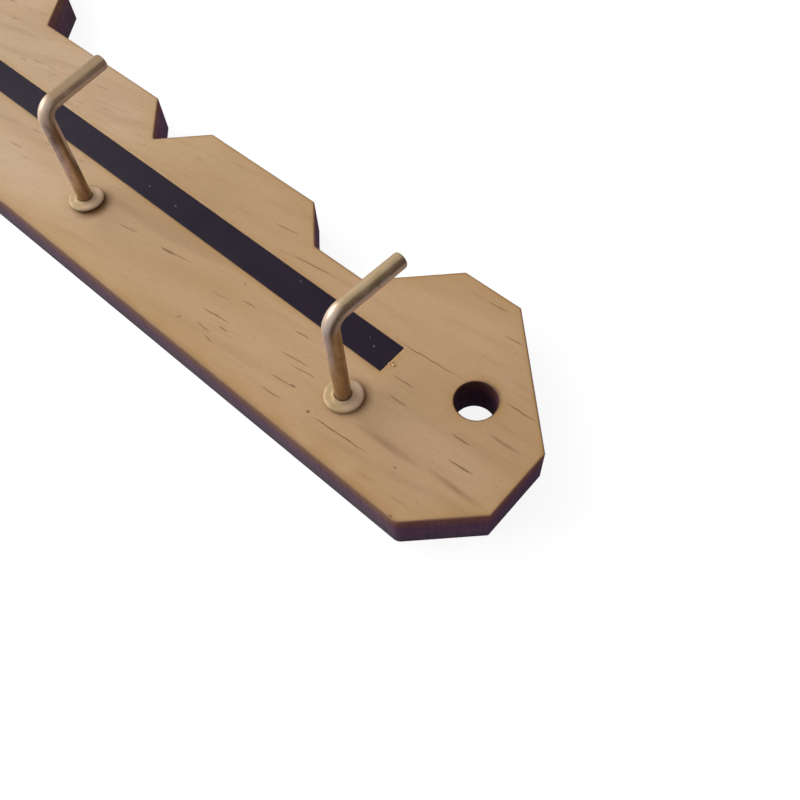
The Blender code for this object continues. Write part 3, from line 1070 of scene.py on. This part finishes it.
def make_hook_wire(number, material):
    """One hook: a threaded shank, a straight post, a bend and an arm with a rounded end."""
    foot, forward, arm_height, reach = hook_measures(number)
    upward = Vector((0, 0, 1))
    sideways = forward.cross(upward)
    shell = Shell(f"brass_hook_{number}")
    coordinates = shell.bm.verts.layers.float_vector.new("wire")
    rows = []

    def add(centre, across, along, radius_at):
        """One ring about a centre, in the plane of the hook's side and the direction across."""
        row = []
        for step in range(WIRE_FACETS):
            angle = math.tau * step / WIRE_FACETS
            spoke = sideways * math.cos(angle) + across * math.sin(angle)
            vertex = shell.bm.verts.new(foot + centre + spoke * radius_at(angle))
            around = Vector((math.cos(angle), math.sin(angle))) * WIRE_RADIUS / MM
            vertex[coordinates] = (along / MM + WIRE_SPACING * number, around.x, around.y)
            row.append(vertex)
        rows.append(row)

    # The shank's facets start from the hook's side, so the thread starts there too.
    thread_steps = round(THREAD_LENGTH / THREAD_PITCH * RINGS_PER_TURN)
    for step in range(thread_steps):
        height = -THREAD_LENGTH + THREAD_PITCH * step / RINGS_PER_TURN
        add(upward * height, -forward, height, lambda angle, at=height: thread_radius(at, -angle))
    post_top = arm_height - ELBOW_RADIUS
    for height in (-0.4 * MM, 0, post_top * 0.33, post_top * 0.66):
        add(upward * height, -forward, height, lambda angle: WIRE_RADIUS)

    # The bend thins the wire a little on its outside.
    bend_centre = forward * ELBOW_RADIUS + upward * post_top
    for step in range(ELBOW_STEPS + 1):
        angle = math.pi / 2 * step / ELBOW_STEPS
        outward = -forward * math.cos(angle) + upward * math.sin(angle)
        strain = math.sin(2 * angle) * ELBOW_THINNING
        along = post_top + ELBOW_RADIUS * angle
        add(
            bend_centre + outward * ELBOW_RADIUS,
            outward,
            along,
            lambda around, strain=strain: WIRE_RADIUS * (1 - strain * max(0, math.sin(around))),
        )

    # The arm's rings, each by its distance back from the arm's end
    arm_start = post_top + ELBOW_RADIUS * math.pi / 2
    straight = reach - ELBOW_RADIUS
    for back, radius in (
        (straight * 0.66, WIRE_RADIUS),
        (straight * 0.33, WIRE_RADIUS),
        (0.4 * MM, WIRE_RADIUS),
        (0.22 * MM, WIRE_RADIUS - 0.05 * MM),
        (0.08 * MM, WIRE_RADIUS - 0.17 * MM),
        (0, WIRE_RADIUS - 0.36 * MM),
        (0, WIRE_RADIUS * 0.35),
    ):
        centre = forward * (reach - back) + upward * arm_height
        add(centre, upward, arm_start + straight - back, lambda angle, radius=radius: radius)
    shell.bands(rows)
    shell.bm.faces.new(list(reversed(rows[0])))
    shell.bm.faces.new(rows[-1])
    shell.finish([material], f"hook_{number}", f"hook_wire_{number}")


def make_collar(number, material):
    """A pressed washer: flat top, raised lip round the wire, rolled rim."""
    foot = hook_foot(number)
    low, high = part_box(f"hook_collar_{number}")
    bottom = low.z - FACE
    peak = high.z - FACE
    bore = WIRE_RADIUS + 0.04 * MM
    edge = COLLAR_RADIUS
    profile = (
        (bore, COLLAR_SEAT),
        (bore, peak - 0.16 * MM),
        (bore + 0.03 * MM, peak - 0.05 * MM),
        (bore + 0.12 * MM, peak),
        (bore + 0.28 * MM, peak - 0.03 * MM),
        (bore + 0.55 * MM, peak - 0.14 * MM),
        (bore + 0.9 * MM, peak - 0.22 * MM),
        (edge - 0.8 * MM, peak - 0.25 * MM),
        (edge - 0.45 * MM, peak - 0.31 * MM),
        (edge - 0.2 * MM, peak - 0.42 * MM),
        (edge - 0.06 * MM, peak - 0.56 * MM),
        (edge, peak - 0.74 * MM),
        (edge - 0.02 * MM, bottom + 0.06 * MM),
        (edge - 0.1 * MM, bottom),
        (edge - 0.45 * MM, COLLAR_SEAT),
    )
    shell = Shell(f"brass_collar_{number}")
    coordinates = shell.bm.verts.layers.float_vector.new("wire")
    rows = []
    for radius, height in profile:
        row = []
        dented = 0.05 * MM < radius - bore < 1.6 * MM
        for spoke in circle(Vector((0, 0)), 1, COLLAR_FACETS):
            spoke = spoke.to_3d()
            dent = noise.noise(spoke * 1.3 + Vector((number * 3, radius / MM, 0))) * DENT_DEPTH
            lift = min(0, dent) if dented else 0
            vertex = shell.bm.verts.new(foot + spoke * radius + Vector((0, 0, height + lift)))
            vertex[coordinates] = (radius / MM, spoke.x * radius / MM, spoke.y * radius / MM)
            row.append(vertex)
        rows.append(row)
    shell.bands([*rows, rows[0]])
    shell.finish([material], f"hook_{number}_collar", f"hook_collar_{number}")


# ---------- stage


def make_camera():
    data = bpy.data.cameras.new("camera")
    data.sensor_width = 36
    data.lens = 38.03
    data.clip_start = 0.001
    camera = add_object("camera", data)
    camera.location = (0.17869, -0.06043, 0.14153)
    camera.rotation_euler = Euler([math.radians(angle) for angle in (30.251, 2.2973, 41.4953)])
    bpy.context.scene.camera = camera


def make_lamp(name, place, size, power):
    data = bpy.data.lights.new(name, "AREA")
    data.shape = "RECTANGLE"
    data.size, data.size_y = size
    data.energy = power
    data.color = DAYLIGHT
    lamp = add_object(name, data)
    lamp.location = place
    away = Vector(place) - Vector(LAMP_TARGET)
    lamp.rotation_euler = away.to_track_quat("Z", "Y").to_euler()
    return lamp


def make_lamps():
    """A wide window that lights the surfaces, and a smaller one that only glints in them."""
    wide = make_lamp("soft_window", (-0.64, -0.24, 0.5), (1.3, 0.5), 8)
    wide.visible_glossy = False
    glint = make_lamp("glint_window", (-0.62, -0.34, 0.5), (0.75, 0.55), 11.5)
    glint.visible_diffuse = False


def make_room():
    """Even light from above that falls off towards the right, over a dim lilac ground."""
    world = bpy.data.worlds.new("room")
    bpy.context.scene.world = world
    world.use_nodes = True
    tree = world.node_tree
    background = tree.nodes["Background"]
    place = tree.nodes.new("ShaderNodeTexCoord").outputs["Generated"]

    def ramp(axis, settings):
        """A number that rises along an axis, by its two ends there and its values at them."""
        towards = tree.nodes.new("ShaderNodeVectorMath")
        towards.operation = "DOT_PRODUCT"
        towards.inputs[1].default_value = Vector(axis).normalized()
        scale = tree.nodes.new("ShaderNodeMapRange")
        for socket, value in zip(scale.inputs[1:5], settings):
            socket.default_value = value
        tree.links.new(place, towards.inputs[0])
        tree.links.new(towards.outputs["Value"], scale.inputs[0])
        return scale.outputs[0]

    tint = tree.nodes.new("ShaderNodeMix")
    tint.data_type = "RGBA"
    tint.inputs[6].default_value = (0.9, 0.74, 0.94, 1)
    tint.inputs[7].default_value = (1, 0.985, 0.97, 1)
    tree.links.new(ramp((0, 0, 1), (-0.1, 0.25, 0, 1)), tint.inputs[0])
    tree.links.new(tint.outputs[2], background.inputs["Color"])
    strength = ramp((-0.45, 0.05, 0.89), (-0.35, 1, 0.14, 0.66))
    tree.links.new(strength, background.inputs["Strength"])


def make_floor():
    """A pale round floor that glows a little, so that it stays near white without lighting anything."""
    constants = {"Emission Color": (1, 1, 1), "Emission Strength": 0.88}
    paint = Paint("pale_floor", constants)
    paper = paint.noise(paint.mm, 0.08, 3)
    paint.color = paint.mix(paint.fade(paper, 0.3, 0.7), (0.17, 0.17, 0.17), (0.19, 0.19, 0.19))
    shell = Shell("floor")
    shell.fill(shell.ring(circle(Vector((0, 0)), FLOOR_RADIUS, 64), -FLOOR_GAP))
    floor = add_mesh("floor", shell.bm, [paint.done(0.9)])
    floor.visible_glossy = False
    floor.visible_diffuse = False
    floor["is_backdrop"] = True


# ---------- build

wall = charred(
    "charred_wall",
    near_face=(0.262, 0.145, 0.096),
    middle=(0.198, 0.124, 0.165),
    bottom=(0.16, 0.13, 0.158),
    rim=(0.33, 0.2, 0.115),
)
# The same char painted much darker, as the shade inside the screw hole and the pocket.
bore = charred(
    "charred_bore_painted_shade",
    near_face=(0.064, 0.026, 0.022),
    middle=(0.054, 0.022, 0.03),
    bottom=(0.046, 0.022, 0.036),
    rim=(0.08, 0.038, 0.022),
    striped=0.1,
)
front = veneer("pine_veneer_front", 2, marked=True)
back = veneer("pine_veneer_back", 61, marked=False)
make_board([front, wall, back, bare_core("drilled_core"), bore])
make_inlay(black_inlay("black_line"))
make_glue(dried_glue("dried_glue"))
wire_brass = drawn_brass("drawn_brass")
collar_brass = pressed_brass("pressed_brass")
for hook in HOOKS:
    make_hook_wire(hook, wire_brass)
    make_collar(hook, collar_brass)

make_camera()
make_room()
make_lamps()
make_floor()
bpy.context.scene.view_settings.view_transform = "Standard"

boxes = {"cad": cad_box, "visual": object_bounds()}
{name: [list(corner) for corner in box] for name, box in boxes.items()}
